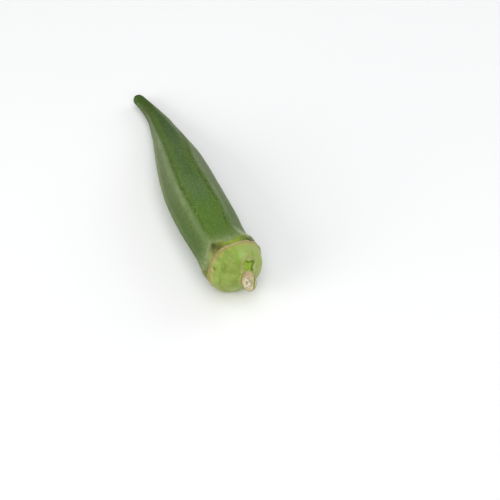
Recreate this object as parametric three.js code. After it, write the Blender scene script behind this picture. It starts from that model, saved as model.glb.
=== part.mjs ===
// Okra pod, lying down: one natural piece, skinned over cross-sections
// along a gently bent centreline. Millimetres, +Z up.
// The stem end points to +X and the tapering tip points to -X.
import * as THREE from 'three';
import { mergeVertices } from 'three/addons/utils/BufferGeometryUtils.js';

// ---- Driving dimensions (s is the distance from the ring scar towards the tip)
const TIP_S = 107;              // the rounded tip's end
const TIP_RADIUS = 2.2;         // roundness of the tip
const STEM_END_S = -10;         // the middle of the stem's cut face
const CUT_TILT = 38;            // the cut face looks up by this many degrees
const CUT_TURN = 8;             // and to the side of -Y by this many
const CUT_RIM_RADIUS = 2.6;
const STEM_BASE_S = -7.4;       // where the stem leaves the cap
const FACE_COLUMNS = 10;        // mesh columns across each of the faces
const RIDGE_ANGLES = [-35, 20, 83, 151, 209, 267, 325];   // degrees from +Z towards +Y
const TIP_TURN = [-14, 35, 16, 5, 0, -6, -14];   // how far each has turned near the tip
const TURN_FORWARD = [42, 76];  // where ridges turn towards +Y, as distances s
const TURN_BACK = [54, 94];     // where the others turn back
const RIDGE_BEAD = 0.18;        // how far the thin crest stands proud
const RING_BEAD = 0.22;         // how far the corky ring scar stands proud
const HOLLOW_DEPTH = 0.9;       // dimple where each ridge ends at the ring
const HOLLOW_S = 2.3;           // its distance from the ring
const NOTCH_DEPTH = 0.8;        // torn place beside the stem
const NOTCH_ANGLE = 24;         // its direction, degrees
const NOTCH_HALF_WIDTH = 2.1;
const PITH_RADIUS = 0.6;        // small hollow in the cut face
const PITH_DEPTH = 0.45;
// Local dents and swellings: direction, its spread in degrees, distance s, its length, height.
const DENTS = [
  [48, 30, 70, 9, -0.4], [62, 30, 15, 7, -0.4], [95, 35, -5.6, 1.6, -0.35],
  [77, 18, 2.4, 2.0, -0.5], [72, 18, -0.7, 0.9, 0.2], [-122, 30, -3.3, 2.0, -0.35],
  [-90, 40, 96.5, 5, 0.45],
];

// Radius over the ridge crests, at a few distances s.
const OUTLINE = [
  [-10, 2.75], [-8.5, 2.8], [-7.8, 3.3], [-7.1, 4.6], [-6.2, 6.3], [-5, 8.15], [-2.5, 10.1],
  [-0.5, 10.62], [0, 10.65], [0.7, 10.35], [1.4, 10.5], [3, 11.15], [6, 10.75], [10, 10.4],
  [16, 10.6], [25, 10.9], [40, 10.6], [55, 9.4], [70, 7.1], [84, 4.7], [96, 2.75], [107, 2.2],
];
// How much flatter than a circle the faces are, as a share of the radius.
const FLATNESS = [[-10, 0], [0.6, 0], [3, 0.03], [9, 0.068], [80, 0.07], [96, 0.055], [107, 0.03]];
// The centreline's sideways bend and its height.
const BEND = [
  [-10, 1.65], [-4.5, 1.15], [0, 0.1], [20, -0.45], [40, -0.1], [60, 2.0], [80, 3.85], [95, 3.9],
  [107, 1.3],
];
const HEIGHT = [
  [-10, 11.0], [0, 10.84], [12, 10.05], [25, 10.02], [40, 9.7], [55, 8.58], [70, 6.48],
  [84, 4.62], [96, 3.6], [107, 3.4],
];

// Where the cross-sections stand.
const CAP_SECTIONS = [-9.8, -9.1, -8.4, -7.8, -7.2, -6.9, -6.5, -6.0, -5.3, -4.4, -3.4, -2.2, -1.1];
const RING_SECTIONS = [-0.4, 0, 0.4, 0.8, 1.4, 2.2, 3.2, 4.6, 6.5, 9, 12.5];
const BODY_STEP = 5.2;
const BODY_LAST = 103.5;

// Smooth curve through a short list of [position, value] pairs.
function slopeAt(list, i) {
  const a = list[Math.max(i - 1, 0)];
  const b = list[Math.min(i + 1, list.length - 1)];
  return (b[1] - a[1]) / (b[0] - a[0]);
}
function smooth(list, s) {
  if (s <= list[0][0]) return list[0][1];
  if (s >= list[list.length - 1][0]) return list[list.length - 1][1];
  let i = 0;
  while (s > list[i + 1][0]) i += 1;
  const width = list[i + 1][0] - list[i][0];
  const t = (s - list[i][0]) / width;
  const m0 = slopeAt(list, i) * width;
  const m1 = slopeAt(list, i + 1) * width;
  const t2 = t * t;
  const t3 = t2 * t;
  return (2 * t3 - 3 * t2 + 1) * list[i][1] + (t3 - 2 * t2 + t) * m0
    + (3 * t2 - 2 * t3) * list[i + 1][1] + (t3 - t2) * m1;
}
function straight(list, s) {
  if (s <= list[0][0]) return list[0][1];
  for (let i = 1; i < list.length; i += 1) {
    if (s <= list[i][0]) {
      const t = (s - list[i - 1][0]) / (list[i][0] - list[i - 1][0]);
      return list[i - 1][1] + t * (list[i][1] - list[i - 1][1]);
    }
  }
  return list[list.length - 1][1];
}
const bell = (distance) => Math.exp(-distance * distance);
const turned = (angle, direction) => ((angle - direction + 540) % 360) - 180;
function step(value, [low, high]) {
  const t = Math.min(Math.max((value - low) / (high - low), 0), 1);
  return t * t * (3 - 2 * t);
}

// The centreline and its frame.
function centre(s) {
  return new THREE.Vector3(-s, smooth(BEND, s), smooth(HEIGHT, s));
}
function frameAt(s) {
  const along = centre(s + 0.5).sub(centre(s - 0.5)).normalize();
  const side = new THREE.Vector3().crossVectors(along, new THREE.Vector3(0, 0, 1)).normalize();
  const up = new THREE.Vector3().crossVectors(side, along);
  return { side, up };
}

// The ridges spread apart towards the tip. Every ridge falls exactly on a mesh column.
function ridgeAngle(k, s) {
  const share = step(s, TIP_TURN[k] > 0 ? TURN_FORWARD : TURN_BACK);
  return RIDGE_ANGLES[k] + TIP_TURN[k] * share;
}
const columns = [];
for (let face = 0; face < RIDGE_ANGLES.length - 1; face += 1) {
  for (let j = 0; j < FACE_COLUMNS; j += 1) {
    columns.push({ face, across: j / FACE_COLUMNS });
  }
}

function sectionPoint(s, radius, column) {
  const mid = centre(s);
  const { side, up } = frameAt(s);
  const toRidge = Math.min(column.across, 1 - column.across) * 2;      // 0 on a ridge, 1 mid-face
  let r = radius * (1 - straight(FLATNESS, s) * Math.sin(toRidge * Math.PI / 2));
  if (toRidge === 0 && s > 4 && s < 90) r += RIDGE_BEAD;
  r += RING_BEAD * bell(s / 0.35);
  const start = ridgeAngle(column.face, s);
  const width = ridgeAngle(column.face + 1, s) - start;
  const offRidge = toRidge * width / 2;
  r -= HOLLOW_DEPTH * bell(offRidge / 9) * bell((s - HOLLOW_S) / 1.5);
  const angle = start + column.across * width;
  DENTS.forEach(([direction, spread, place, length, height]) => {
    r += height * bell(turned(angle, direction) / spread) * bell((s - place) / length);
  });
  const a = THREE.MathUtils.degToRad(angle);
  const point = mid.clone().addScaledVector(up, r * Math.cos(a)).addScaledVector(side, r * Math.sin(a));
  // the torn notch is pushed in towards the middle of the pod
  const off = THREE.MathUtils.degToRad(angle - NOTCH_ANGLE);
  const near = Math.cos(off) > 0 ? bell(r * Math.sin(off) / NOTCH_HALF_WIDTH) : 0;
  const notch = NOTCH_DEPTH * near * bell((s + 6.1) / 1.3);
  const inward = centre(0).sub(point).normalize();
  point.addScaledVector(inward, notch);
  // the stem's sections lean over until they lie in the tilted cut
  const lean = Math.min(Math.max((STEM_BASE_S - s) / (STEM_BASE_S - STEM_END_S), 0), 1);
  point.x -= lean * Math.tan(THREE.MathUtils.degToRad(CUT_TILT)) * (point.z - mid.z);
  point.x += lean * Math.tan(THREE.MathUtils.degToRad(CUT_TURN)) * (point.y - mid.y);
  return point;
}

// All sections from the cut face to the tip, then two closing points.
const sections = [];
const cutRims = [
  { s: STEM_END_S, r: CUT_RIM_RADIUS }, { s: STEM_END_S, r: 1.5 }, { s: STEM_END_S, r: PITH_RADIUS },
  { s: STEM_END_S + PITH_DEPTH, r: PITH_RADIUS * 0.7 },
];
cutRims.reverse().forEach((rim) => sections.push(rim));
CAP_SECTIONS.forEach((s) => sections.push({ s, r: smooth(OUTLINE, s) }));
RING_SECTIONS.forEach((s) => sections.push({ s, r: smooth(OUTLINE, s) }));
for (let s = 12.5 + BODY_STEP; s < BODY_LAST; s += BODY_STEP) {
  sections.push({ s, r: smooth(OUTLINE, s) });
}
[15, 35, 55, 75].forEach((lean) => {
  const a = THREE.MathUtils.degToRad(lean);
  sections.push({ s: TIP_S - TIP_RADIUS * (1 - Math.sin(a)), r: TIP_RADIUS * Math.cos(a) });
});

const positions = [];
sections.forEach(({ s, r }) => {
  columns.forEach((column) => {
    const p = sectionPoint(s, r, column);
    positions.push(p.x, p.y, Math.max(p.z, 0));      // flattened where the pod lies on the surface
  });
});
const stemPole = positions.length / 3;
positions.push(...centre(STEM_END_S + PITH_DEPTH).toArray());
const tipPole = stemPole + 1;
positions.push(...centre(TIP_S).toArray());

const faces = [];
const n = columns.length;
for (let j = 0; j < n; j += 1) {
  const k = (j + 1) % n;
  faces.push(stemPole, k, j);
  for (let i = 0; i < sections.length - 1; i += 1) {
    const a = i * n + j;
    const b = i * n + k;
    faces.push(a, b, a + n, b, b + n, a + n);
  }
  const last = (sections.length - 1) * n;
  faces.push(last + j, last + k, tipPole);
}

let skin = new THREE.BufferGeometry();
skin.setAttribute('position', new THREE.Float32BufferAttribute(positions, 3));
skin.setIndex(faces);
skin = mergeVertices(skin, 1e-4);
// the origin stands under the middle of the pod's bounding box
skin.computeBoundingBox();
const box = skin.boundingBox;
skin.translate(-(box.min.x + box.max.x) / 2, -(box.min.y + box.max.y) / 2, -box.min.z);
skin.computeVertexNormals();

const pod = new THREE.Mesh(skin, new THREE.MeshStandardMaterial({
  color: new THREE.Color(0.19, 0.29, 0.11), roughness: 0.62, metalness: 0,
}));
pod.name = 'okra_pod';

const part = new THREE.Group();
part.name = 'okra_pod_part';
part.add(pod);
export default part;
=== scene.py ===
# %% [markdown]
# # A fresh okra pod
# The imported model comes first: it is the fixed frame that physics uses. This lesson builds a
# richer skin around it, in metres and in the same place, and hides the plain solid.
# Sizes on a pod are easiest to think about in millimetres, so MM turns them into metres.

# %% Load the fixed frame
import math

import bmesh
import bpy
import numpy as np
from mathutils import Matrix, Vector, noise
from mathutils.bvhtree import BVHTree


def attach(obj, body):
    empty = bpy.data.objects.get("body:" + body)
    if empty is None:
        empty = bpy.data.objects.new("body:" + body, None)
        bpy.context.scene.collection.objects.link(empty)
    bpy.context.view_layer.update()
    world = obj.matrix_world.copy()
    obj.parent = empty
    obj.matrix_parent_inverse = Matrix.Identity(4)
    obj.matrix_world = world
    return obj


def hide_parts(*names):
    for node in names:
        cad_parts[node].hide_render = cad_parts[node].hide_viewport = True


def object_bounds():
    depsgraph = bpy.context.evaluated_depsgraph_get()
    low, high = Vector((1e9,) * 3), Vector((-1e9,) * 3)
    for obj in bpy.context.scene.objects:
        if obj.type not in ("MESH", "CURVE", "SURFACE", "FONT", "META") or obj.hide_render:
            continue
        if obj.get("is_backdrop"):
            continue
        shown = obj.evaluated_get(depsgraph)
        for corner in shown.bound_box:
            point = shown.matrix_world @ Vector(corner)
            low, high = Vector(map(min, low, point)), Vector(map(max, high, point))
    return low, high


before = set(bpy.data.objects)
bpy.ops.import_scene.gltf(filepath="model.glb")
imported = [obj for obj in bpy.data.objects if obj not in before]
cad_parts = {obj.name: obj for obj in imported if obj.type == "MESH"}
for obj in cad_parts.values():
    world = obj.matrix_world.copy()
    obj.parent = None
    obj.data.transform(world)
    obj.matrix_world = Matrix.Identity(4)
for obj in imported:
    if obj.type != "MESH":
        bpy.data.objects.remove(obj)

MM = 0.001
CAD_LOW, CAD_HIGH = (tuple(corner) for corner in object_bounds())
TIP_S = 107.0                                        # from the ring's centre to the tip's end
RING_X, AXIS_Y = CAD_LOW[0] / MM + TIP_S, 0.28       # where the ring's centre stands
print("CAD box, mm:", [round(v / MM, 1) for v in CAD_LOW + CAD_HIGH])

# %% [markdown]
# ## Camera, floor and light
# A long lens from about half a metre keeps the pod's shape calm. The camera could be moved by
# hand until the view fits. Here two angles and a distance place it around a target just beside
# the pod, so each can be changed on its own. The lamps are big and soft, so that the skin's own
# detail shows and not hard glints.

# %% Colour handling
scene = bpy.context.scene
scene.view_settings.view_transform = "Standard"      # keeps greens as bright as they are lit
scene.view_settings.look = "None"

# %% Camera
CAMERA_AZIMUTH, CAMERA_ELEVATION = math.radians(67.42), math.radians(46.0)
CAMERA_DISTANCE = 560 * MM
CAMERA_TARGET = Vector((RING_X - 4.63, AXIS_Y + 8.09, 10.7)) * MM    # just beside the pod
LENS, SENSOR = 113.4, 36                             # millimetres
NEAR_CLIP, FAR_CLIP = 0.01, 10                       # metres

toward_camera = Vector((
    math.sin(CAMERA_AZIMUTH) * math.cos(CAMERA_ELEVATION),
    -math.cos(CAMERA_AZIMUTH) * math.cos(CAMERA_ELEVATION),
    math.sin(CAMERA_ELEVATION),
))
camera = bpy.data.objects.new("camera", bpy.data.cameras.new("camera"))
scene.collection.objects.link(camera)
camera.data.lens = LENS
camera.data.sensor_width = SENSOR
camera.data.clip_start, camera.data.clip_end = NEAR_CLIP, FAR_CLIP
camera.location = CAMERA_TARGET + toward_camera * CAMERA_DISTANCE
camera.rotation_euler = toward_camera.to_track_quat("Z", "Y").to_euler()
scene.camera = camera
print("camera at, mm:", [round(v / MM) for v in camera.location])

# %% [markdown]
# The floor is one large pale sheet. It is built by `create_grid`, marked as stage, and given
# a matt paper-like finish with a trace of unevenness, so that it never looks computer-flat.

# %% Floor
FLOOR_HALF = 3.0  # metres from the middle to each edge
floor_bm = bmesh.new()
bmesh.ops.create_grid(floor_bm, x_segments=2, y_segments=2, size=FLOOR_HALF)
floor_mesh = bpy.data.meshes.new("floor")
floor_bm.to_mesh(floor_mesh)
floor_bm.free()
floor = bpy.data.objects.new("floor", floor_mesh)
scene.collection.objects.link(floor)
floor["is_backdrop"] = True
print("floor:", 2 * FLOOR_HALF, "m wide")

# %% Lamps
LAMPS = (  # name, place and size in metres, watts, colour
    ("left lamp", (0.15, -1.05, 0.42), 0.8, 7.0, (1.0, 0.99, 0.97)),
    ("right lamp", (-0.25, 1.05, 0.5), 0.8, 3.4, (0.98, 0.99, 1.0)),
    ("front lamp", (0.85, -0.2, 0.8), 0.9, 6.0, (1.0, 1.0, 1.0)),
    ("top lamp", (0.0, 0.0, 1.3), 1.2, 4.8, (1.0, 1.0, 1.0)),
)
SKY_COLOUR, SKY_STRENGTH = (0.96, 0.98, 1.0, 1), 0.34


def softbox(name, place, size, watts, colour):
    """A square area lamp that looks at the pod."""
    lamp = bpy.data.objects.new(name, bpy.data.lights.new(name, "AREA"))
    lamp.data.shape, lamp.data.size = "SQUARE", size
    lamp.data.energy, lamp.data.color = watts, colour
    lamp.location = place
    lamp.rotation_euler = (Vector(place) - CAMERA_TARGET).to_track_quat("Z", "Y").to_euler()
    scene.collection.objects.link(lamp)


for lamp_facts in LAMPS:
    softbox(*lamp_facts)

world = bpy.data.worlds.new("studio")
scene.world = world
world.use_nodes = True
sky = world.node_tree.nodes["Background"]
sky.inputs["Color"].default_value = SKY_COLOUR
sky.inputs["Strength"].default_value = SKY_STRENGTH
print("lamps:", len(LAMPS))

# %% [markdown]
# ## The pod's driving lines
# On the plant the pod grows as one tapering shell: a cap where it joined the stem, a corky
# scar ring where the petals fell off, and a ridged body that narrows to a blunt tip. Distance
# along the pod is called s: zero on the ring, growing towards the tip, negative on the cap.
# A few stations with a smooth curve through them are enough, and easy to change.

# %% Outline, bend and height along the pod
TIP_RADIUS = 2.2
STEM_BASE_S, STEM_END_S = -7.4, -10.0
OUTLINE = np.array([  # distance s, radius over the ridges
    (-10, 2.75), (-8.5, 2.8), (-7.8, 3.3), (-7.1, 4.6), (-6.2, 6.3), (-5, 8.15), (-2.5, 10.1),
    (-0.5, 10.62), (0, 10.65), (0.7, 10.35), (1.4, 10.5), (3, 11.15), (6, 10.75), (10, 10.4),
    (16, 10.6), (25, 10.9), (40, 10.6), (55, 9.4), (70, 7.1), (84, 4.7), (96, 2.75), (107, 2.2),
])
# the centreline's place sideways and its height over the floor, and how flat the faces are
BEND = np.array([(-10, 1.65), (-4.5, 1.15), (0, 0.1), (20, -0.45), (40, -0.1), (60, 2.0),
                 (80, 3.85), (95, 3.9), (107, 1.3)])
HEIGHT = np.array([(-10, 11.0), (0, 10.84), (12, 10.05), (25, 10.02), (40, 9.7), (55, 8.58),
                   (70, 6.48), (84, 4.62), (96, 3.6), (107, 3.4)])
FLATNESS = np.array([(-10, 0), (0.6, 0), (3, 0.03), (9, 0.068), (80, 0.07), (96, 0.055),
                     (107, 0.03)])


def smooth_curve(stations, s):
    """A smooth curve through (position, value) stations, read at s."""
    x, y = stations.T
    last = len(x) - 1
    i = np.arange(last + 1)
    before, after = np.maximum(i - 1, 0), np.minimum(i + 1, last)
    slope = (y[after] - y[before]) / (x[after] - x[before])
    s = np.clip(s, x[0], x[-1])
    k = np.clip(np.searchsorted(x, s) - 1, 0, last - 1)
    width = x[k + 1] - x[k]
    t = (s - x[k]) / width
    return ((2 * t**3 - 3 * t**2 + 1) * y[k] + (t**3 - 2 * t**2 + t) * slope[k] * width
            + (3 * t**2 - 2 * t**3) * y[k + 1] + (t**3 - t**2) * slope[k + 1] * width)


print("radius at the ring, middle and tip:", smooth_curve(OUTLINE, np.array([0, 50, 100])).round(2))

# %% [markdown]
# ## The skin: extrude a profile, then spin it
# A lathe is the natural start for anything that grows round an axis. One vertex is extruded
# along the outline, close together where there is fine relief (ring, cap, cut), further apart
# on the calm body. `spin` turns the profile into a closed skin in a single step. A subdivided
# cylinder would do too, but its two ends would need patching, and here they close by themselves.

# %% Stations along the profile
FACES = 6
COLUMNS = 36 * FACES
CUT_RADIUS, CUT_ROUNDING = 2.75, 0.3                 # the cut face and its rounded rim
COLLAR_S, RING_LOW_S = 6.1, -1.1                     # where the fine stations start and end
FINE_SAMPLES = 400


def even_steps(start, end, count):
    """Stations from start to end that are equally far apart along the outline itself."""
    fine = np.linspace(start, end, FINE_SAMPLES)
    travel = np.hypot(np.diff(fine), np.diff(smooth_curve(OUTLINE, fine))).cumsum()
    return np.interp(np.linspace(0, travel[-1], count), np.append(0, travel), fine)


tip_angles = np.radians(np.linspace(84, 0, 12))
tip_profile = [(TIP_S, 0.0)] + [
    (TIP_S - TIP_RADIUS * (1 - math.sin(a)), TIP_RADIUS * math.cos(a)) for a in tip_angles
]
body_s = np.concatenate([
    np.linspace(TIP_S - TIP_RADIUS - 0.5, COLLAR_S + 0.1, 226),             # the calm body
    np.linspace(COLLAR_S - 0.1, RING_LOW_S + 0.1, 56),                      # collar and ring
    even_steps(RING_LOW_S - 0.05, STEM_BASE_S, 66),                         # the cap
    np.linspace(STEM_BASE_S - 0.15, STEM_END_S + CUT_ROUNDING, 13),         # the stem
])
rim_profile = [
    (STEM_END_S + CUT_ROUNDING * (1 - math.sin(a)), CUT_RADIUS - CUT_ROUNDING * (1 - math.cos(a)))
    for a in np.radians((20, 40, 60, 80))
]
cut_profile = [(STEM_END_S, r) for r in np.linspace(CUT_RADIUS - CUT_ROUNDING - 0.03, 0.1, 24)]
profile = (tip_profile + list(zip(body_s, smooth_curve(OUTLINE, body_s)))
           + rim_profile + cut_profile + [(STEM_END_S, 0.0)])
print("profile points:", len(profile))

# %% Extrude the profile and spin it
MERGE_DISTANCE = 1e-4
pod_bm = bmesh.new()
point = bmesh.ops.create_vert(pod_bm, co=(-profile[0][0], 0, 0))["vert"][0]
for s, r in profile[1:]:
    point = bmesh.ops.extrude_vert_indiv(pod_bm, verts=[point])["verts"][0]
    point.co = (-s, 0, r)
bmesh.ops.spin(pod_bm, geom=pod_bm.verts[:] + pod_bm.edges[:], cent=(0, 0, 0), axis=(-1, 0, 0),
               angle=math.tau, steps=COLUMNS, use_merge=True)
bmesh.ops.remove_doubles(pod_bm, verts=pod_bm.verts[:], dist=MERGE_DISTANCE)
bmesh.ops.recalc_face_normals(pod_bm, faces=pod_bm.faces[:])
pod_mesh = bpy.data.meshes.new("okra_pod_skin")
pod_bm.to_mesh(pod_mesh)
pod_bm.free()
print("skin:", len(pod_mesh.vertices), "points,", len(pod_mesh.polygons), "faces")

# %% [markdown]
# ## Reading the straight pod
# The shaping is done like sculpting, but in numbers: every point knows its distance s along
# the pod, its angle round it and its radius, so a ridge or a hollow is a small sum added to
# the radius. Sculpting by hand would give the same forms, but no number could be changed later.
# The angle is first squeezed so that columns crowd together at the ridges.

# %% Each point's station, angle and radius
straight = np.empty(len(pod_mesh.vertices) * 3)
pod_mesh.vertices.foreach_get("co", straight)
straight = straight.reshape(-1, 3)
along = -straight[:, 0]
radius = np.hypot(straight[:, 1], straight[:, 2])
turn = np.degrees(np.arctan2(straight[:, 1], straight[:, 2])) % 360

# %% Two soft shapes that all the relief is made of
def bell(x):
    """A soft bump, one at x = 0 and gone by about x = 2."""
    return np.exp(-np.square(x))


def step(x, low, high):
    """Rises smoothly from 0 at low to 1 at high."""
    t = np.clip((x - low) / (high - low), 0, 1)
    return t * t * (3 - 2 * t)


# %% Six ridges, unevenly spaced, that spread apart towards the tip
RIDGES = np.array([-35, 20, 83, 151, 209, 267, 325.0])  # degrees from up; the last is the first
TIP_TURN = np.array([-14, 35, 16, 5, 0, -6, -14.0])     # how far each has turned near the tip
TURN_FORWARD, TURN_BACK = (48, 84), (54, 94)            # where they turn, as distances s
SWAYING_RIDGE, SWAY = 1, 4.5                            # one ridge also sways by some degrees
SWAY_START, SWAY_END = (8, 26), (36, 47)
FACE_TURN = 360 / FACES                                 # degrees of the plain lathe for a face
CROWDING = 0.5                                          # how much columns gather at the ridges


def ridge_angle(number):
    """The angle of a ridge at every point's station."""
    share = np.where(TIP_TURN[number] > 0, step(along, *TURN_FORWARD), step(along, *TURN_BACK))
    swaying = (number == SWAYING_RIDGE) * step(along, *SWAY_START) * (1 - step(along, *SWAY_END))
    return RIDGES[number] + SWAY * swaying + TIP_TURN[number] * share


face_no = np.minimum((turn // FACE_TURN).astype(int), FACES - 1)
across = np.clip(turn / FACE_TURN - face_no, 0, 1)
across = across - CROWDING / math.tau * np.sin(math.tau * across)
face_width = ridge_angle(face_no + 1) - ridge_angle(face_no)
angle = ridge_angle(face_no) + across * face_width
to_ridge = np.minimum(across, 1 - across) * 2           # 0 on a ridge, 1 mid-face
ridge_gap = to_ridge * np.radians(face_width / 2) * radius   # millimetres from the crest
# every second face is painted paler in the finish: painted sheen
odd_face = np.where(face_no % 2 == 1, 1.0, -1.0)             # every second face is paler


def turned(degrees):
    """Angle from a direction round the pod, between -180 and 180."""
    return (angle - degrees + 180) % 360 - 180


SEED_SHIFT = (17.3, 5.1, 9.7)                           # keeps the bumps of two seeds apart
NOISE_GAIN = 1.6                                        # brings them to about -1 to 1


def rough(scale, seed, where=None):
    """Smooth random relief between about -1 and 1, with bumps of the given size in mm."""
    spots = pod_space() if where is None else where
    shift = Vector([seed * shift_axis for shift_axis in SEED_SHIFT])
    return np.array([noise.noise(Vector(p) / scale + shift) for p in spots]) * NOISE_GAIN


def pod_space():
    """Every point on the straight pod, before the bend."""
    a = np.radians(angle)
    return np.stack([radius * np.sin(a), radius * np.cos(a), along], axis=1)


print("closest columns, mm:", round(float(ridge_gap[ridge_gap > 1e-3].min()), 3))

# %% [markdown]
# ## Faces and ridges
# Between two ridges the wall is a shallow arch, flatter than a circle. On the crest runs a
# thin raised seam with a fine groove on each side, a little uneven like everything that grows.
# The seam could be a bump in the material, but then the outline would stay smooth where the
# crest meets the background, so it is modelled.

# %% Shape the faces
CREST_ROUNDING, CREST_LEVEL = 0.13, 0.06             # shares of half a face
SEAM_HEIGHT, SEAM_GROOVE, SEAM_WIDTH = 0.06, 0.04, 0.6
GROOVE_FROM_CREST = 1.3
flat = np.interp(along, *FLATNESS.T)
softened = np.sqrt(to_ridge**2 + CREST_ROUNDING**2) - CREST_LEVEL
radius = radius * (1 - flat * np.sin(np.clip(softened, 0, 1) * math.pi / 2))
ridge_strength = step(along, 3.5, 9) * (1 - step(along, 88, 103))
seam = SEAM_HEIGHT * bell(ridge_gap / SEAM_WIDTH)
seam = seam - SEAM_GROOVE * bell((ridge_gap - GROOVE_FROM_CREST) / SEAM_WIDTH)
radius += ridge_strength * seam * (1 + 0.45 * rough(2.2, 1))
radius += ridge_strength * 0.07 * bell(ridge_gap / 1.1) * rough(0.6, 21)
thick_part = radius[(along > 10) & (along < 60)]
print("radius on the body, mm: from", thick_part.min().round(2), "to", thick_part.max().round(2))

# %% [markdown]
# ## Collar, groove and ring
# The velvety skin stops just short of the ring in a wavy edge. Between this edge and the thin
# corky ring lies a narrow bare groove, deeper where each ridge runs out. A cut and an inset could
# make the groove, but a cut has one depth. As a sum over the points it can wander and fade out.

# %% The collar's edge and the bare groove
COLLAR_EDGE = np.array([  # direction in degrees, distance from ring
    (-35, 4.5), (-25, 3.5), (-10, 2.0), (6, 1.35), (13, 1.9), (20, 2.8), (31, 2.7), (40, 2.4),
    (52, 2.3), (62, 2.0), (72, 1.5), (83, 2.7), (98, 1.4), (120, 1.1), (138, 1.4), (151, 2.9),
    (165, 1.5), (180, 1.2), (195, 1.5), (209, 2.8), (225, 1.4), (250, 1.2), (267, 2.3),
    (277, 1.1), (292, 1.05), (302, 1.7), (313, 2.8), (325, 4.5),
])
RING_WAVES = ((50, 36, -0.95), (6, 18, -0.6))            # direction, spread, shift in mm
SHALLOW_HOLLOWS = ((18, 9), (87, 12))                    # direction and spread
OVERHANG_DIRECTION, OVERHANG_SPREAD = 42, 21             # where the skin stands over the groove
GROOVE_DEPTH, HOLLOW_DEPTH, OVERHANG_FILL = 0.4, 0.6, 0.2
EDGE_LIFT, OVERHANG_LIFT = 0.13, 0.34                    # how thick the skin's edge is
ring_wave = 0.16 * rough(4.0, 3) + 0.06 * rough(0.9, 4)
for direction, spread, shift in RING_WAVES:
    ring_wave += shift * bell(turned(direction) / spread)
from_ring = along - ring_wave                            # the ring itself is not quite flat
nearest_ridge = to_ridge * face_width / 2                # degrees to the nearest ridge
first_ridge = RIDGES[0]
edge_s = np.interp((angle - first_ridge) % 360 + first_ridge, *COLLAR_EDGE.T)
edge_s += 0.18 * rough(2.0, 2)
collar_gap = along - edge_s                              # positive on the velvety side
near_ring = step(from_ring, 0.15, 0.75) * (1 - step(along, 6, 9))
groove = near_ring * (1 - step(collar_gap, -0.1, 0.3))
hollow = bell(nearest_ridge / 9) * step(edge_s, 1.8, 3.2) * bell((collar_gap + 1.0) / 1.3)
hollow *= 1 - 0.6 * sum(bell(turned(direction) / spread) for direction, spread in SHALLOW_HOLLOWS)
overhang = bell(turned(OVERHANG_DIRECTION) / OVERHANG_SPREAD)
hollow = np.maximum(hollow, 0.5 * overhang * bell((collar_gap + 0.4) / 0.6))
radius -= groove * (GROOVE_DEPTH + HOLLOW_DEPTH * hollow - OVERHANG_FILL * overhang)
edge_lift = EDGE_LIFT + OVERHANG_LIFT * overhang
radius += edge_lift * near_ring * bell((collar_gap - 0.7) / 0.9)
print("collar edge runs between s =", edge_s.min().round(2), "and", edge_s.max().round(2))
print("the ring waves between s =", ring_wave.min().round(2), "and", ring_wave.max().round(2))

# %% The corky ring
RING_HALF_WIDTH, RING_HEIGHT = 0.36, 0.3
RING_PINCH, PINCH_DIRECTION = 0.07, -76              # one side of the ring is drawn in
ring_boost = bell(turned(38) / 40)
ring_half_width = RING_HALF_WIDTH * (1.35 + 0.5 * ring_boost + 0.25 * rough(3.0, 23))
ring_gap = from_ring * RING_HALF_WIDTH / ring_half_width
ring_zone = step(along, -3.5, -0.8) * (1 - step(along, 1.0, 2.2))
radius *= 1 - RING_PINCH * bell(turned(PINCH_DIRECTION) / 21) * ring_zone
ring_height = RING_HEIGHT + 0.2 * ring_boost - 0.2 * bell(turned(92) / 22)
cork = ring_height * bell(ring_gap / RING_HALF_WIDTH)
cork -= 0.1 * bell(ring_gap / 0.12)                  # a fine line along the top of the cork
radius += cork * (1 + 0.5 * rough(0.9, 5))
print("ring stands proud by up to", cork.max().round(2), "mm")

# %% [markdown]
# ## Growth unevenness
# No natural wall is perfectly smooth. Soft relief of a few sizes breaks up the reflections: slow
# swells along the faces, seed-sized ripples and a fine grain. A displace modifier could do it,
# but it would move the thin seams and the ring too. Here each sum fades out before them.

# %% Swells and ripples
body = step(along, 4, 12) * (1 - step(along, 92, 104))   # 1 on the body, 0 elsewhere
cap = 1 - step(along, -1.2, -0.5)                        # 1 on the cap and stem
radius += body * (0.05 * rough(14, 6) + 0.025 * rough(3.2, 7) + 0.015 * rough(0.8, 22))
radius += cap * step(radius, 3, 6) * (0.07 * rough(6, 8) + 0.02 * rough(1.5, 9))
radius += cap * step(radius, 5, 9) * 0.1 * bell(nearest_ridge / 14)   # faint ribs on the cap
DENTS = (  # direction, spread, place along, length, height in mm
    (48, 30, 77, 8, -0.4), (62, 30, 15, 7, -0.4), (95, 35, -5.6, 1.6, -0.35),
    (71, 13, 2.4, 2.0, -0.44), (72, 18, -0.7, 0.9, 0.2), (-122, 30, -3.3, 2.0, -0.35),
    (-90, 40, 96.5, 5, 0.45), (62, 28, 62, 6, 0.3),
)
for direction, spread, place, length, height in DENTS:
    radius += height * bell(turned(direction) / spread) * bell((along - place) / length)
print("relief added, with", len(DENTS), "larger dents and swellings")

# %% [markdown]
# ## The stem's cut and the torn notch
# The stem was cut at a slant and took a strip of cap skin with it. What is left is a trough of
# fresh flesh beside the stem, a crack down its right side, a flap of skin at its far end and a
# raised, dried edge on both sides. A boolean cut would leave clean machined walls, and this
# place is ragged and shallow, so the points are pushed in. The trough's own two directions, down
# its length and over its width, make it easy to say where each of these lies.

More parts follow.
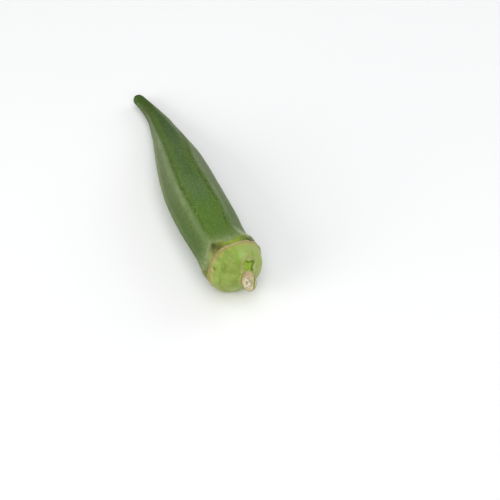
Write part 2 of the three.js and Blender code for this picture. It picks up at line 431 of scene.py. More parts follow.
# %% Directions and outline of the trough
NOTCH_ANGLE = 24                                             # its direction from the stem
down = radius * np.cos(np.radians(turned(NOTCH_ANGLE)))      # away from the stem's middle
over = radius * np.sin(np.radians(turned(NOTCH_ANGLE)))      # sideways
ragged = 0.16 * rough(0.7, 10)
left_edge = np.interp(down, (1.5, 3, 4.6, 5.6, 6.9, 8.1), (-2.6, -3.0, -3.1, -2.9, -2.3, -1.3))
left_edge += ragged
right_edge = np.interp(down, (2, 4.3, 5.9, 7.6), (3.2, 3.15, 3.0, 2.0)) + ragged
crack_line = np.interp(down, (2.4, 3.4, 4.9, 6.1), (2.2, 1.8, 1.75, 2.4)) + 0.9 * ragged
flap_low = np.interp(over, (-1.4, -0.5, 1.05, 2.2), (6.65, 6.4, 6.55, 6.75)) + 0.5 * ragged
flap_high = np.interp(over, (-1.4, -0.4, 0.6, 2.3), (7.8, 8.0, 7.7, 6.95))
stub = step(-along, 8.0, 8.6)                                # one on the stem's stub
trough = (cap * (down > 0) * step(over - left_edge, 0, 0.3) * step(right_edge - over, 0, 0.3)
          * step(flap_high - down, -0.1, 0.15))
print("trough length:", round(float(down[trough > 0.5].max()), 1), "mm")

# %% Flesh, crack, flap and edges
FLESH_DEPTH, FLAP_DEPTH, STRIP_DEPTH, CRACK_DEPTH = 0.85, 0.3, 0.3, 0.45
LIP_HEIGHT = 0.15
flap = trough * step(down - flap_low, -0.08, 0.1) * step(2.4 - over, 0, 0.2)
strip = trough * step(over - crack_line, 0.12, 0.34) * (1 - flap)
under_flap = step(over, -1.7, -1.2) * step(2.3 - over, 0, 0.4)
# a low place under the flap's lower edge, which the colour also darkens as a painted shadow
shade = 0.6 * bell((down - flap_low + 0.2) / 0.22) * under_flap
crack_and_flap_shadow = bell((over - crack_line) / 0.28) * step(down, 2.5, 2.9) * step(6.6 - down, 0, 0.3)
crack_and_flap_shadow = trough * np.maximum(crack_and_flap_shadow, shade)
curled = trough * bell((over - left_edge - 0.6) / 0.42)      # skin that rolled inwards
curled *= step(down, 2.0, 2.6) * step(5.6 - down, 0, 0.8)
lumps = bell((down - 3.5) / 0.45) + 0.7 * bell((down - 5.1) / 0.7)
flesh_bed = trough * (1 - flap) * (1 - strip) * (1 - stub)
fibre = rough(1.0, 11, np.stack([over / 0.35, down / 2.2, along / 2.2], axis=1))
lip = cap * (1 - stub) * (down > 1) * step(8.8 - down, 0, 0.4)
top_rim = bell((down - flap_high) / 0.22) * step(over, -1.6, -1.2) * step(2.3 - over, 0, 0.4)
side_rims = np.maximum(bell((over - left_edge) / 0.34), 0.5 * bell((over - right_edge) / 0.3))
lip = lip * np.maximum(side_rims, 0.6 * top_rim)
bulge = bell((down - 7.0) / 0.45) * bell((over - 0.3) / 1.2)
notch_depth = flesh_bed * (FLESH_DEPTH * step(down, 2.2, 3.6) + 0.09 * fibre - 0.5 * curled)
notch_depth += flap * (FLAP_DEPTH - 0.42 * bulge)
notch_depth += strip * (STRIP_DEPTH - 0.22 * lumps) * (1 - stub)
notch_depth += CRACK_DEPTH * crack_and_flap_shadow * (1 - stub) - LIP_HEIGHT * lip
print("deepest place:", notch_depth.max().round(2), "mm")

# %% [markdown]
# The cut face shows the stem's own build: a small soft pith off the middle, a woody ring round
# it and a rim of bark. Along its top the tear runs over the edge, between two green shoulders.

# %% The cut face
PITH_X, PITH_Y = -0.65, -0.1                             # the pith lies off the middle
PITH_DEPTH, PITH_RADIUS = 0.35, 0.38
WOOD_RADIUS, BARK_RADIUS = 1.6, 2.3
TINY = 1e-6
on_cut = (along < STEM_END_S + TINY) & (radius < CUT_RADIUS - 0.25)
lean = np.clip((STEM_BASE_S - along) / (STEM_BASE_S - STEM_END_S), 0, 1)
torn_top = lean * step(down, 0.7, 3.0) * step(over + 2.7, 0, 0.5) * step(2.5 - over, 0, 0.5)
narrowing = np.interp(down, (0.4, 1.4, 2.8), (2.7, 2.1, 0.6)) + 1.5 * ragged
shoulder = lean * step(down, 0.4, 0.9) * step(np.abs(over - 0.1) - narrowing, -0.1, 0.25)
shoulder = np.minimum(shoulder, np.maximum(torn_top, on_cut))
section_x, section_y, _ = pod_space().T
pith_far = np.hypot(section_x - PITH_X, section_y - PITH_Y)
pith = PITH_DEPTH * bell(pith_far / PITH_RADIUS) - 0.14 * bell((pith_far - 0.9) / 0.35)
wood = 0.12 * bell((pith_far - WOOD_RADIUS) / 0.3) - 0.1 * bell((radius - BARK_RADIUS) / 0.25)
cut_crack = on_cut * bell((over - 1.9) / 0.2) * step(down, -1.7, -1.1)
cut_strip = on_cut * step(over, 2.0, 2.2) * step(down, -1.9, -1.3)
pulp = pith + wood + 0.13 * rough(0.45, 12) + 0.1 * rough(1.3, 13)
sunk = np.where(on_cut, pulp * (1 - cut_strip) + 0.4 * cut_crack, 0)
sunk += 0.9 * torn_top + 0.12 * torn_top * fibre
print("pith hollow:", sunk[on_cut].max().round(2), "mm")

# %% [markdown]
# ## Bend the straight pod into place
# Every cross-section is moved onto the centreline and turned square to it. A curve modifier
# could bend the pod, but then the points would no longer lie where their facts say. The stem's
# sections lean over into the slanted cut. The underside is pressed flat where it rests.

# %% Place every point
CUT_TILT, CUT_TURN = math.radians(38), math.radians(8)     # the cut looks up, and toward -Y
HALF_STEP = 0.5                                            # for measuring the direction ahead


def centre_line(s):
    """Points of the bent centreline, from the ring's centre."""
    return np.stack([-s, smooth_curve(BEND, s), smooth_curve(HEIGHT, s)], axis=1)


def unit(v):
    """Directions with a length of one."""
    return v / np.linalg.norm(v, axis=1, keepdims=True)


ahead = unit(centre_line(along + HALF_STEP) - centre_line(along - HALF_STEP))
side = unit(np.cross(ahead, (0.0, 0.0, 1.0)))
up = np.cross(side, ahead)
middle = centre_line(along)
theta = np.radians(angle)[:, None]
placed = middle + radius[:, None] * (np.cos(theta) * up + np.sin(theta) * side)
inward = unit(centre_line(np.zeros(1)) - placed)
from_middle = placed - middle
slant = math.tan(CUT_TURN) * from_middle[:, 1] - math.tan(CUT_TILT) * from_middle[:, 2]
placed += inward * notch_depth[:, None] + ahead * sunk[:, None]
placed[:, 0] += lean * slant
placed[:, 2] = np.maximum(placed[:, 2], 0)
placed += (RING_X, AXIS_Y, 0)
pod_mesh.vertices.foreach_set("co", (placed * MM).ravel())
pod_mesh.update()
print("pod box, mm:", placed.min(axis=0).round(1), placed.max(axis=0).round(1))

# %% [markdown]
# ## Facts for the finishes
# A colour that follows the shape, such as the dark hollow or the corky ring, has to know where
# that shape is. A painted texture could hold it, but it needs an image. Here every point keeps a
# few numbers of its own, and the materials read them by name.

# %% Keeping facts on the points
def store(name, values, kind="FLOAT"):
    """Keeps a number or a vector on every point, for the materials."""
    layer = pod_mesh.attributes.new(name, kind, "POINT")
    layer.data.foreach_set("vector" if kind == "FLOAT_VECTOR" else "value", np.ravel(values))


def store_three(name, *values):
    """Keeps three numbers on every point as one vector."""
    store(name, np.stack(values, axis=1).astype(np.float32), "FLOAT_VECTOR")


# %% Marks on the cap
# direction in degrees, distance from the stem's middle and size in mm, strength
BRUISES = ((-90, 3.5, 0.8, 1), (-82, 2.9, 0.5, 0.8), (140, 6.5, 0.7, 0.6))
SPECKS = ((-63.8, 10.51, 0.44, 4.5), (-52.5, 9.8, 0.3, 0.4), (-30, 8.2, 0.25, 0.3),
          (115, 8.8, 0.4, 0.9), (200, 7.4, 0.35, 0.7), (232, 9.4, 0.4, 0.6))
# mint tints; the first, on top of the cap, is a painted highlight
MINT_AND_HIGHLIGHT = ((3, 8.7, 1.7, 1), (130, 8.0, 2.0, 0.8), (215, 6.8, 1.6, 0.7))
OLIVE = ((-69, 10.3, 1.4, 1), (-47, 7.6, 1.6, 0.5), (170, 8.6, 1.8, 0.6))
RUST = ((-64.5, 10.56, 0.9, 1.5), (-45, 10.35, 1.0, 1), (-35, 10.2, 0.8, 0.8),
        (60, 10.3, 1.2, 0.7))
cap_s = np.linspace(STEM_BASE_S, -0.3, 200)
cap_radius = smooth_curve(OUTLINE, cap_s)


def blots(marks):
    """Round marks on the cap, from one of the lists above."""
    total = 0
    for degrees, far, size, strength in marks:
        a = math.radians(degrees)
        mark = (far * math.sin(a), far * math.cos(a), np.interp(far, cap_radius, cap_s))
        total += strength * cap * bell(np.linalg.norm(pod_space() - mark, axis=1) / size)
    return total


streak_middle = -1.3 - 0.26 * (10.1 - section_y)
fresh_streak = cap * bell((section_x - streak_middle) / 0.55)
fresh_streak *= step(section_y, 6.6, 7.8) * step(11 - section_y, 0, 1)
bruise, specks = blots(BRUISES), blots(SPECKS)
print("marks on the cap:", len(BRUISES + SPECKS + MINT_AND_HIGHLIGHT + OLIVE + RUST))

# %% Scuffs on the ridges
SCUFFS = (  # direction, distance from ring, length
    (-46, 97, 1.2), (-49, 93.5, 1.0), (-48, 88, 0.7), (34, 57, 0.9), (85, 58, 1.6),
    (154, 80, 1.3), (209, 37, 1.8), (264, 74, 1.2), (83, 21, 1.0), (267, 14, 1.1),
)
SCUFF_WIDTH = 0.9
scuffs = sum(
    bell(np.radians(turned(direction)) * radius / SCUFF_WIDTH) * bell((along - place) / length)
    for direction, place, length in SCUFFS
)
print("scuffs:", len(SCUFFS))

# %% Facts the finishes will read
GRAIN_RADIUS = 8  # grain is read as on an even tube
on_tube = GRAIN_RADIUS * np.sin(theta[:, 0]), GRAIN_RADIUS * np.cos(theta[:, 0]), along
store_three("pod_space", *pod_space().T)
store_three("grain_space", *on_tube)
store("crest_offset", odd_face * ridge_gap)
store("collar_gap", collar_gap)
store("overhang", overhang)
store("ring_gap", ring_gap)
strips, cracks_and_flap_shadow = np.maximum(strip, curled) * (1 - stub) + cut_strip, crack_and_flap_shadow * (1 - stub) + cut_crack
store_three("tear_parts", np.maximum(flesh_bed, shoulder), cracks_and_flap_shadow, flap)
store_three("tear_rims", strips, lip, torn_top * (1 - shoulder))
store_three("cap_marks", fresh_streak, bruise, specks)
fresh_zone = bell(turned(10) / 22) + 0.7 * bell(turned(118) / 14) + 0.6 * bell(turned(236) / 12)
pale_zone = bell(turned(-66) / 24)
# the first of these, the groove's hollows, carries painted shade
store_three("groove_tints_and_shade", hollow * groove, np.minimum(fresh_zone, 1), pale_zone)
store_three("cap_tints_and_highlight", blots(MINT_AND_HIGHLIGHT), blots(OLIVE), blots(RUST))
store_three("stem_spot", radius, section_x - section_y, pith_far)
store("scuff", scuffs)
print("stored:", [a.name for a in pod_mesh.attributes])

# %% Make the object
pod = bpy.data.objects.new("okra_pod_skin", pod_mesh)
scene.collection.objects.link(pod)
for polygon in pod_mesh.polygons:
    polygon.use_smooth = True
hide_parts("okra_pod")
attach(pod, "root")
print("made", pod.name, "to stand for okra_pod")

# %% [markdown]
# ## Material helpers
# A node tree reads best when each step is one short call, so these helpers add a node, fill
# its sockets with numbers or links and hand back the output.

# %% Node helpers
def new_material(name):
    """A material with a node tree, ready for the helpers below."""
    material = bpy.data.materials.new(name)
    material.use_nodes = True
    return material


class Nodes:
    """Short calls that add nodes to one material."""

    def __init__(self, material):
        self.tree = material.node_tree
        self.shader = self.tree.nodes["Principled BSDF"]

    def put(self, socket, value):
        """Fills a socket with a link or with a plain value."""
        if isinstance(value, bpy.types.NodeSocket):
            self.tree.links.new(value, socket)
        else:
            socket.default_value = value

    def shade(self, name, value):
        """Fills one socket of the shader itself."""
        self.put(self.shader.inputs[name], value)

    def add(self, kind, inputs, output=0, **settings):
        """Adds a node, fills its inputs and hands back one of its outputs."""
        made = self.tree.nodes.new(kind)
        for key, value in settings.items():
            setattr(made, key, value)
        for key, value in inputs.items():
            self.put(made.inputs[key], value)
        return made.outputs[output]

    def fact(self, name, output="Fac"):
        """A number that is stored on the points, or three with the output "Vector"."""
        return self.add("ShaderNodeAttribute", {}, output, attribute_name=name)

    def part(self, vector, axis):
        return self.add("ShaderNodeSeparateXYZ", {0: vector}, axis)

    def math(self, what, a, b=0.0):
        return self.add("ShaderNodeMath", {0: a, 1: b}, operation=what)

    def toward(self, spot, right, up):
        """Grows across the pod toward a side that lies so far to the right and so far up."""
        return self.math("ADD", self.math("MULTIPLY", self.part(spot, "X"), right),
                         self.math("MULTIPLY", self.part(spot, "Y"), up))

    def fade(self, value, low, high, start=0.0, end=1.0):
        """Turns smoothly from start, where the value is low, to end, where it is high."""
        return self.add("ShaderNodeMapRange", {0: value, 1: low, 2: high, 3: start, 4: end},
                        interpolation_type="SMOOTHSTEP")

    def near(self, value, middle, reach):
        """One where the value equals the middle, zero beyond the reach."""
        away = self.math("ABSOLUTE", self.math("SUBTRACT", value, middle))
        return self.fade(away, reach, 0.0)

    def times(self, *factors):
        product = factors[0]
        for factor in factors[1:]:
            product = self.math("MULTIPLY", product, factor)
        return product

    def noise(self, spot, size, detail=2.0, roughness=0.5, stretch=(1, 1, 1)):
        """Soft clouds of a size in mm; a stretch under 1 draws them out along that axis."""
        spot = self.add("ShaderNodeMapping", {"Vector": spot, "Scale": stretch})
        return self.add("ShaderNodeTexNoise", {"Vector": spot, "Scale": 1 / size,
                                               "Detail": detail, "Roughness": roughness})

    def spots(self, spot, size):
        """The distance from the nearest of many scattered centres."""
        return self.add("ShaderNodeTexVoronoi", {"Vector": spot, "Scale": 1 / size}, "Distance")

    def mix(self, amount, a, b):
        return self.add("ShaderNodeMix", {0: amount, 6: a, 7: b}, 2, data_type="RGBA")

    def bump(self, height, distance, strength):
        return self.add("ShaderNodeBump", {"Height": height, "Distance": distance,
                                           "Strength": strength})


def paint(red, green, blue):
    """A colour picked on a 0 to 255 chart, turned into light values."""
    chart = np.array([red, green, blue]) / 255
    light = np.where(chart <= 0.04045, chart / 12.92, ((chart + 0.055) / 1.055) ** 2.4)
    return (*light, 1.0)


# %% Floor finish
PAPER_DIM, PAPER_BRIGHT = (0.925, 0.925, 0.925, 1), (0.945, 0.945, 0.945, 1)
floor_finish = new_material("pale paper")
n = Nodes(floor_finish)
floor_spot = n.add("ShaderNodeTexCoord", {}, "Object")
cloud = n.add("ShaderNodeTexNoise", {"Vector": floor_spot, "Scale": 9.0, "Detail": 3.0})
n.shade("Base Color", n.mix(cloud, PAPER_DIM, PAPER_BRIGHT))
n.shade("Roughness", 0.9)
n.shade("Specular IOR Level", 0.1)
floor_mesh.materials.append(floor_finish)
print("floor finish:", floor_finish.name)

# %% [markdown]
# ## The pod's finishes
# A fresh pod is covered with short down, which looks paler where it is thick, on the crests and
# at the collar, and lets the deeper green through where it is thin. Every second face is painted
# paler as painted sheen; the silvery band along its crest is partly thicker down and partly
# painted sheen, and a pale rim near the tip is painted sheen too. The side that lay low is painted
# darker, as painted shade. Two colour recipes cover the outside: this velvety green and the bare
# waxy skin of the groove, ring and cap. Each starts from a base of soft clouds and lays one layer
# after another over it, as a painter glazes. Both are mixed across the collar's edge in both
# materials, so no line shows where one material hands over to the other. Only the velvet's sheen
# and roughness stop there.

# %% Green of the velvety faces
def velvet_green(n):
    """The faces: every second one is painted paler as painted sheen, and crest is below zero on the
    greener ones.
    """
    spot, crest = n.fact("pod_space", "Vector"), n.fact("crest_offset")
    collar = n.fact("collar_gap")
    along_pod = n.part(spot, "Z")
    from_crest = n.math("ABSOLUTE", crest)
    # the ground colour: soft clouds, yellower toward the ring and deeper toward the tip
    clouds = n.fade(n.noise(spot, 9.0, 3, 0.55, (1, 1, 0.5)), 0.38, 0.62)
    colour = n.mix(clouds, paint(60, 86, 30), paint(75, 100, 43))
    lower = n.times(n.fade(along_pod, 42, 20), 0.85)
    colour = n.mix(lower, colour, paint(79, 111, 29))
    upper = n.times(n.fade(along_pod, 50, 80), 0.92)
    colour = n.mix(upper, colour, paint(46, 74, 2))
    # down: a grey-green bloom away from the crests, and a paler belt beside one of them
    bloom = n.fade(n.noise(spot, 5.0, 3, 0.6, (1, 1, 0.5)), 0.42, 0.64)
    bloom = n.times(bloom, n.fade(from_crest, 1.2, 3.4), n.fade(along_pod, 16, 34),
                    n.fade(along_pod, 76, 48, 0.2, 0.55))
    colour = n.mix(bloom, colour, paint(68, 96, 54))
    pale_belt = n.times(n.near(along_pod, 33, 10), n.fade(crest, -0.6, -1.8), 0.42)
    colour = n.mix(pale_belt, colour, paint(92, 114, 78))
    # a bright strip on the green side of the crest; on the other side a face painted pale as
    # painted sheen, and a silvery band of thicker down with painted sheen
    edge_strip = n.times(n.near(crest, -1.6, 2.0), n.fade(along_pod, 100, 84), 0.6)
    colour = n.mix(edge_strip, colour, paint(82, 110, 22))
    painted_sheen_face = n.times(n.fade(crest, -0.4, 1.0), n.fade(along_pod, 104, 90), 0.85)
    pale = n.mix(n.fade(along_pod, 16, 46), paint(68, 92, 31), paint(88, 99, 61))
    colour = n.mix(painted_sheen_face, colour, pale)
    # paler along the crest: thicker down there, and painted sheen
    crest_down_and_sheen = n.times(n.near(crest, 1.3, 2.4), n.fade(along_pod, 10, 34, 0.5, 1.0),
                         n.fade(along_pod, 92, 66))
    band_breaks = n.fade(n.noise(spot, 2.2, 4, 0.65, (1, 1, 0.6)), 0.34, 0.62, 0.35, 1.0)
    colour = n.mix(n.times(crest_down_and_sheen, band_breaks), colour, paint(120, 135, 90))
    # painted sheen: a pale rim beside the crests near the tip, on one side of the pod
    painted_rim_sheen = n.times(n.near(crest, -0.5, 3.2), n.fade(along_pod, 58, 76),
                       n.fade(along_pod, 105, 94), n.fade(n.part(spot, "X"), 0.2, 2.6),
                       band_breaks, 0.85)
    colour = n.mix(painted_rim_sheen, colour, paint(120, 134, 98))
    # fine texture: tufts of down, single tips and the dark gaps between them; on the faces painted
    # paler as painted sheen the pale tufts are stronger and the gaps fainter
    tufts = n.times(n.fade(n.noise(spot, 1.7, 4, 0.7), 0.44, 0.64),
                    n.fade(crest, -0.6, 0.8, 0.12, 0.4), n.fade(along_pod, 12, 42, 0.4, 1.0))
    colour = n.mix(tufts, colour, paint(110, 128, 86))
    hair_tips = n.times(n.fade(n.noise(spot, 0.5, 2, 0.6), 0.48, 0.68),
                        n.fade(along_pod, 46, 76, 0.72, 0.3))
    colour = n.mix(hair_tips, colour, paint(106, 130, 72))
    between_hairs = n.times(n.fade(n.noise(spot, 0.55, 2, 0.6), 0.5, 0.32),
                            n.fade(crest, -0.6, 0.8, 0.5, 0.3))
    colour = n.mix(between_hairs, colour, paint(48, 72, 22))
    # painted shade: a darker, plainer green on the side that lay low
    painted_shade_low_side = n.times(n.fade(n.toward(spot, 0.4, 1.0), 4.5, -2.0),
                         n.fade(along_pod, 58, 28), 0.55)
    colour = n.mix(painted_shade_low_side, colour, paint(62, 84, 30))
    return seam_marks(n, colour, spot, crest, along_pod, collar)


# %% Seam line, scuffs and the pale collar
def seam_marks(n, colour, spot, crest, along_pod, collar):
    """A broken dark line beside each crest, brown flecks, and down that thickens at the collar."""
    wander = n.math("MULTIPLY", n.math("SUBTRACT", n.noise(spot, 4.0, 3, 0.6), 0.5), 2.6)
    seam_line = n.math("ADD", n.math("ADD", crest, 1.0), wander)
    strength = n.times(n.fade(along_pod, 3, 8), n.fade(along_pod, 92, 50))
    present = n.fade(n.noise(spot, 8.0, 2), 0.4, 0.54, 0.4, 1.0)
    dashes = n.times(n.near(seam_line, 0.0, 0.85),
                     n.fade(n.noise(spot, 2.0, 4, 0.72, (1, 1, 0.55)), 0.46, 0.64),
                     strength, present, 0.45)
    colour = n.mix(dashes, colour, paint(46, 64, 18))
    dots = n.times(n.near(seam_line, 0.1, 0.8), n.fade(n.noise(spot, 0.8, 3, 0.7), 0.5, 0.6),
                   strength, 0.8)
    colour = n.mix(dots, colour, paint(50, 64, 18))
    flecks = n.times(n.near(seam_line, -0.3, 0.9), n.fade(n.noise(spot, 1.1, 3, 0.6), 0.58, 0.7),
                     strength, 0.5)
    colour = n.mix(flecks, colour, paint(122, 118, 60))
    worn = n.times(n.fact("scuff"), n.fade(n.noise(spot, 0.8, 3, 0.65), 0.42, 0.58))
    colour = n.mix(n.times(worn, 0.7), colour, paint(104, 80, 54))
    # down that thickens toward the collar and pales at its very edge
    fluffy = n.fade(n.noise(spot, 1.0, 3, 0.65), 0.25, 0.6)
    collar_bloom = n.times(n.fade(collar, 9.0, 0.5), fluffy, 0.75)
    colour = n.mix(collar_bloom, colour, paint(114, 135, 74))
    edge_bloom = n.times(n.fade(collar, 2.7, 0.8), n.fade(fluffy, 0.0, 1.0, 0.5, 1.0), 0.42)
    colour = n.mix(edge_bloom, colour, paint(144, 152, 112))
    flap_bloom = n.times(n.fade(n.fact("overhang"), 0.0, 0.75), n.fade(collar, 8.5, 0.8),
                         n.fade(crest, -0.4, 0.6), n.fade(crest, 10.0, 2.5, 0.25, 1.0),
                         n.fade(fluffy, 0.0, 1.0, 0.55, 1.0))
    return n.mix(flap_bloom, colour, paint(158, 173, 128))


# %% [markdown]
# The bare skin has no down. On the cap it is smooth, waxy and yellower, with greener streaks that
# run toward the stem, mint and olive tints, rusty freckles and a few dark specks. The cap is also
# painted lighter toward its upper right, as painted light, and one mint patch on its top is a
# painted highlight. The ring is a dry cork scar, paler toward the upper right, and the groove
# behind it stays olive, with painted shade in its hollows.

# %% Bare skin of the groove, ring and cap
def bare_skin(n):
    """Waxy cap skin first, then the ring and groove, then the torn place."""
    spot, grain = n.fact("pod_space", "Vector"), n.fact("grain_space", "Vector")
    ring = n.fact("ring_gap")
    clouds = n.fade(n.noise(spot, 3.6, 3, 0.6), 0.36, 0.64)
    colour = n.mix(clouds, paint(116, 138, 46), paint(136, 154, 68))
    # painted light: the cap is painted lighter toward its upper right
    painted_light_side = n.fade(n.toward(spot, 1.0, 0.6), 0, 8)
    colour = n.mix(n.times(painted_light_side, 0.8), colour, paint(156, 174, 84))
    underside = n.fade(n.part(spot, "Y"), 0.0, -7.0)
    colour = n.mix(n.times(underside, 0.55), colour, paint(146, 146, 82))
    greener = n.fade(n.noise(grain, 2.6, 3, 0.6, (1, 1, 0.3)), 0.54, 0.7)
    colour = n.mix(n.times(greener, 0.6), colour, paint(112, 148, 44))
    tints = n.fact("cap_tints_and_highlight", "Vector")
    uneven = n.fade(n.noise(spot, 1.3, 3, 0.6), 0.3, 0.6)
    # mint tints, with a painted highlight on top of the cap
    colour = n.mix(n.times(n.part(tints, "X"), 0.65), colour, paint(160, 188, 112))
    colour = n.mix(n.times(n.part(tints, "Y"), uneven, 0.5), colour, paint(106, 124, 36))
    waxy = n.fade(n.noise(spot, 1.0, 4, 0.65), 0.5, 0.7)
    colour = n.mix(n.times(waxy, 0.4), colour, paint(164, 178, 106))
    rusty = n.fade(n.noise(spot, 0.7, 2, 0.6), 0.6, 0.68)
    rusty_zone = n.math("MAXIMUM", n.part(tints, "Z"),
                        n.fade(n.noise(spot, 5.0, 2), 0.5, 0.7, 0.0, 0.5))
    colour = n.mix(n.times(rusty, rusty_zone, 0.7), colour, paint(176, 138, 70))
    pores = n.fade(n.spots(spot, 0.7), 0.3, 0.08)
    colour = n.mix(n.times(pores, 0.25), colour, paint(100, 126, 40))
    marks = n.fact("cap_marks", "Vector")
    broken = n.fade(n.noise(spot, 0.6, 3, 0.6), 0.3, 0.62)
    colour = n.mix(n.times(n.part(marks, "X"), 0.75), colour, paint(118, 160, 36))
    colour = n.mix(n.times(n.part(marks, "Y"), broken, 0.75), colour, paint(134, 102, 72))
    colour = ring_and_groove(n, colour, spot, ring)
    dark_specks = n.times(n.part(marks, "Z"), n.fade(broken, 0, 0.5, 0.5, 1.0), 0.9)
    colour = n.mix(dark_specks, colour, paint(98, 72, 14))
    return torn_skin(n, colour, spot)


# %% Corky ring and olive groove
def ring_and_groove(n, colour, spot, ring):
    """Dry tan cork on the ring, olive in the groove and painted shade, nearly brown, in its
    hollows.
    """
    tinge = n.times(n.near(ring, -0.65, 0.75), n.fade(n.noise(spot, 1.8, 3, 0.6), 0.42, 0.64), 0.6)
    colour = n.mix(tinge, colour, paint(170, 156, 84))
    marks = n.fact("groove_tints_and_shade", "Vector")
    olive = n.mix(n.fade(n.noise(spot, 1.6, 3, 0.6), 0.36, 0.64), paint(84, 90, 26),
                  paint(112, 118, 48))
    olive = n.mix(n.times(n.part(marks, "Z"), 0.9), olive, paint(144, 152, 82))
    olive = n.mix(n.times(n.part(marks, "Y"), 0.85), olive, paint(146, 172, 46))
    colour = n.mix(n.fade(ring, 0.3, 0.6), colour, olive)
    # painted shade in the groove's hollows
    colour = n.mix(n.times(n.part(marks, "X"), 0.85), colour, paint(56, 58, 26))
    breaks = n.fade(n.noise(spot, 1.2, 3, 0.6), 0.3, 0.55)
    # the cork is paler toward the upper right
    toward_upper_right = n.toward(spot, 1.0, 0.6)
    cork = n.mix(n.fade(toward_upper_right, -3, 7), paint(134, 120, 72), paint(186, 166, 124))
    pale_cork = n.times(n.fade(n.noise(spot, 0.8, 2), 0.42, 0.58),
                        n.fade(toward_upper_right, -5, 4, 0.15, 0.75))
    cork = n.mix(pale_cork, cork, paint(192, 180, 136))
    brown_patches = n.fade(n.noise(spot, 1.5, 3, 0.6), 0.54, 0.66, 0.0, 0.6)
    cork = n.mix(brown_patches, cork, paint(146, 116, 72))
    colour = n.mix(n.times(n.near(ring, 0.04, 0.62), 0.92), colour, cork)
    cork_line = n.times(n.near(ring, -0.26, 0.26), n.fade(breaks, 0, 1, 0.15, 0.65))
    colour = n.mix(cork_line, colour, paint(146, 112, 66))
    return n.mix(n.times(n.near(ring, 0.5, 0.2), breaks, 0.6), colour, paint(96, 76, 44))


# %% Torn skin and flesh beside the stem
def torn_skin(n, colour, spot):
    """Fresh green flesh, its pale strip and flap, the crack with a painted shadow under the flap,
    and the dried brown edges.
    """
    parts, rims = n.fact("tear_parts", "Vector"), n.fact("tear_rims", "Vector")
    fibres = n.noise(spot, 0.5, 3, 0.6, (1, 0.35, 0.35))
    flesh = n.mix(n.fade(fibres, 0.35, 0.65), paint(132, 160, 36), paint(152, 178, 56))
    colour = n.mix(n.part(parts, "X"), colour, flesh)
    colour = n.mix(n.times(n.part(rims, "X"), 0.85), colour, paint(170, 184, 116))
    colour = n.mix(n.times(n.part(parts, "Z"), 0.7), colour, paint(154, 172, 96))
    dried = n.mix(n.fade(fibres, 0.4, 0.6), paint(166, 140, 90), paint(176, 176, 120))
    colour = n.mix(n.times(n.part(rims, "Y"), 0.95), colour, dried)
    # the crack, and a painted shadow under the flap
    colour = n.mix(n.times(n.part(parts, "Y"), 0.9), colour, paint(72, 100, 30))
    stem_end = n.fade(n.part(spot, "Z"), -8.9, -9.4)
    colour = n.mix(n.times(stem_end, n.fade(fibres, 0.3, 0.6), 0.8), colour, paint(134, 100, 64))
    torn_top = n.mix(n.fade(fibres, 0.35, 0.65), paint(192, 162, 130), paint(204, 182, 150))
    return n.mix(n.part(rims, "Z"), colour, torn_top)


# %% Velvety skin and bare skin as materials
DOWN_DEPTH, WAX_DEPTH = 0.1 * MM, 0.04 * MM
SHEEN_TINT = (0.9, 0.95, 0.74, 1)


def outside_finish(name, roughness, sheen, sheen_roughness):
    """Both recipes, mixed across the collar's frayed edge."""
    material = new_material(name)
    n = Nodes(material)
    spot = n.fact("pod_space", "Vector")
    frayed = n.math("SUBTRACT", n.noise(spot, 0.9, 3, 0.65), 0.5)
    border = n.math("ADD", n.fact("collar_gap"), n.times(frayed, 1.4))
    covered = n.fade(border, -0.3, 0.5)
    n.shade("Base Color", n.mix(covered, bare_skin(n), velvet_green(n)))
    n.shade("Roughness", roughness)
    n.shade("Specular IOR Level", 0.28)
    n.shade("Sheen Weight", sheen)
    n.shade("Sheen Roughness", sheen_roughness)
    n.shade("Sheen Tint", SHEEN_TINT)
    return material, n, spot


velvet_skin, n, spot = outside_finish("velvety green skin", 0.68, 0.15, 0.3)
n.shade("Normal", n.bump(n.noise(spot, 0.35, 3, 0.65), DOWN_DEPTH, 0.8))
cap_skin, n, spot = outside_finish("smooth pale cap", 0.45, 0.04, 0.5)
n.shade("Normal", n.bump(n.noise(spot, 0.9, 4, 0.6), WAX_DEPTH, 0.7))
print("outside finishes:", velvet_skin.name, "and", cap_skin.name)

# %% [markdown]
# The cut stem is pale pulp with white rays round a small pith, drying brown toward the bark.
# Rings from a wave texture would be too even, so the distance from the pith is made to wobble
# and every ring of colour is broken up by clouds of its own.

# %% Cut flesh
FLESH_GRAIN_DEPTH = 0.06 * MM


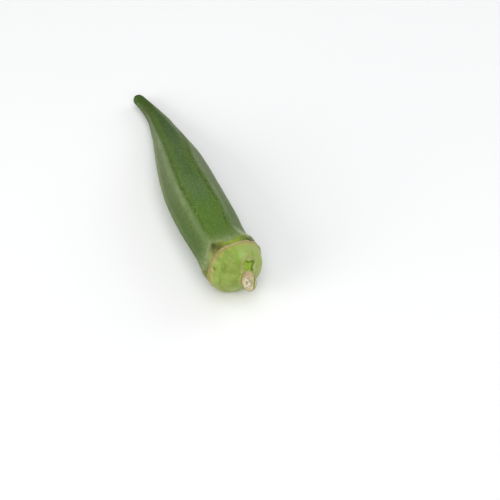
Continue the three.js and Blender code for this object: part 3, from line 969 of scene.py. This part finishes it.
def cut_finish():
    """The cut face of the stem, with the torn top, the strip, the crack and the shoulders."""
    material = new_material("cut stem flesh")
    n = Nodes(material)
    spot, stem = n.fact("pod_space", "Vector"), n.fact("stem_spot", "Vector")
    parts, rims = n.fact("tear_parts", "Vector"), n.fact("tear_rims", "Vector")
    from_middle, lower_right, from_pith = (n.part(stem, axis) for axis in range(3))
    wobble = n.times(n.math("SUBTRACT", n.noise(spot, 0.8, 3), 0.5), 1.6)
    wobble = n.math("ADD", from_pith, wobble)
    colour = n.mix(n.fade(n.noise(spot, 0.6, 3, 0.65), 0.38, 0.62), paint(166, 144, 112),
                   paint(198, 188, 152))
    rays = n.fade(n.noise(spot, 0.6, 3, 0.7), 0.34, 0.58)
    white = n.times(n.fade(wobble, 1.5, 0.6), rays)
    colour = n.mix(n.times(white, 0.9), colour, paint(212, 210, 190))
    colour = n.mix(n.fade(wobble, 0.42, 0.2), colour, paint(150, 150, 92))
    green_side = n.times(n.fade(wobble, 1.7, 2.3), n.fade(lower_right, -0.2, 1.6), 0.6)
    colour = n.mix(green_side, colour, paint(172, 180, 122))
    browned = n.times(n.fade(wobble, 1.3, 1.9), n.fade(n.noise(spot, 0.8, 3, 0.6), 0.46, 0.66), 0.5)
    colour = n.mix(browned, colour, paint(140, 108, 74))
    dark_pores = n.times(n.fade(from_pith, 1.8, 2.3), n.fade(n.spots(spot, 1.1), 0.26, 0.14), 0.7)
    colour = n.mix(dark_pores, colour, paint(92, 92, 48))
    bark = n.times(n.fade(from_middle, 2.3, 2.6), n.fade(n.noise(spot, 1.4, 2), 0.36, 0.52), 0.9)
    colour = n.mix(bark, colour, paint(128, 96, 60))
    torn = n.times(n.part(rims, "Z"), n.fade(from_pith, 1.0, 1.8), 0.8)
    colour = n.mix(torn, colour, paint(190, 160, 126))
    colour = n.mix(n.times(n.part(rims, "X"), 0.9), colour, paint(178, 190, 130))
    colour = n.mix(n.times(n.part(parts, "Y"), 0.85), colour, paint(80, 104, 38))
    colour = n.mix(n.times(n.part(parts, "X"), 0.85), colour, paint(140, 158, 70))
    n.shade("Base Color", colour)
    n.shade("Roughness", 0.75)
    n.shade("Normal", n.bump(n.noise(spot, 0.3, 3, 0.7), FLESH_GRAIN_DEPTH, 0.8))
    return material


cut_flesh = cut_finish()
print("cut finish:", cut_flesh.name)

# %% [markdown]
# ## Faces, finishes and a last check
# One mesh can carry several materials. Every face takes the velvet, the cap skin or the flesh,
# from the mean of the facts at its corners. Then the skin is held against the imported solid, which
# shows at once if a piece has wandered off.

# %% Give each face its finish
VELVET_INDEX, CAP_INDEX, CUT_INDEX = 0, 1, 2  # places in the mesh's list of materials
for finish in (velvet_skin, cap_skin, cut_flesh):
    pod_mesh.materials.append(finish)
corner = np.empty(len(pod_mesh.loops), dtype=np.int32)
pod_mesh.loops.foreach_get("vertex_index", corner)
starts = np.array([polygon.loop_start for polygon in pod_mesh.polygons])
totals = np.array([polygon.loop_total for polygon in pod_mesh.polygons])


def face_mean(values):
    """The mean of a fact over the corners of every face."""
    return np.add.reduceat(values[corner], starts) / totals


finish_index = np.where(face_mean(collar_gap) > 0.1, VELVET_INDEX, CAP_INDEX)
finish_index = np.where(face_mean(on_cut.astype(float)) > 0.5, CUT_INDEX, finish_index)
pod_mesh.polygons.foreach_set("material_index", finish_index.astype(np.int32))
print("faces per finish:", np.bincount(finish_index))

# %% Compare with the CAD solid
EVERY = 7  # one point in so many is measured
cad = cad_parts["okra_pod"]
tree = BVHTree.FromPolygons([v.co for v in cad.data.vertices],
                            [p.vertices[:] for p in cad.data.polygons])
miss = [tree.find_nearest(v.co)[3] / MM for v in list(pod_mesh.vertices)[::EVERY]]
print("distance from the CAD skin, mm: mean", round(float(np.mean(miss)), 2), "largest",
      round(max(miss), 2))
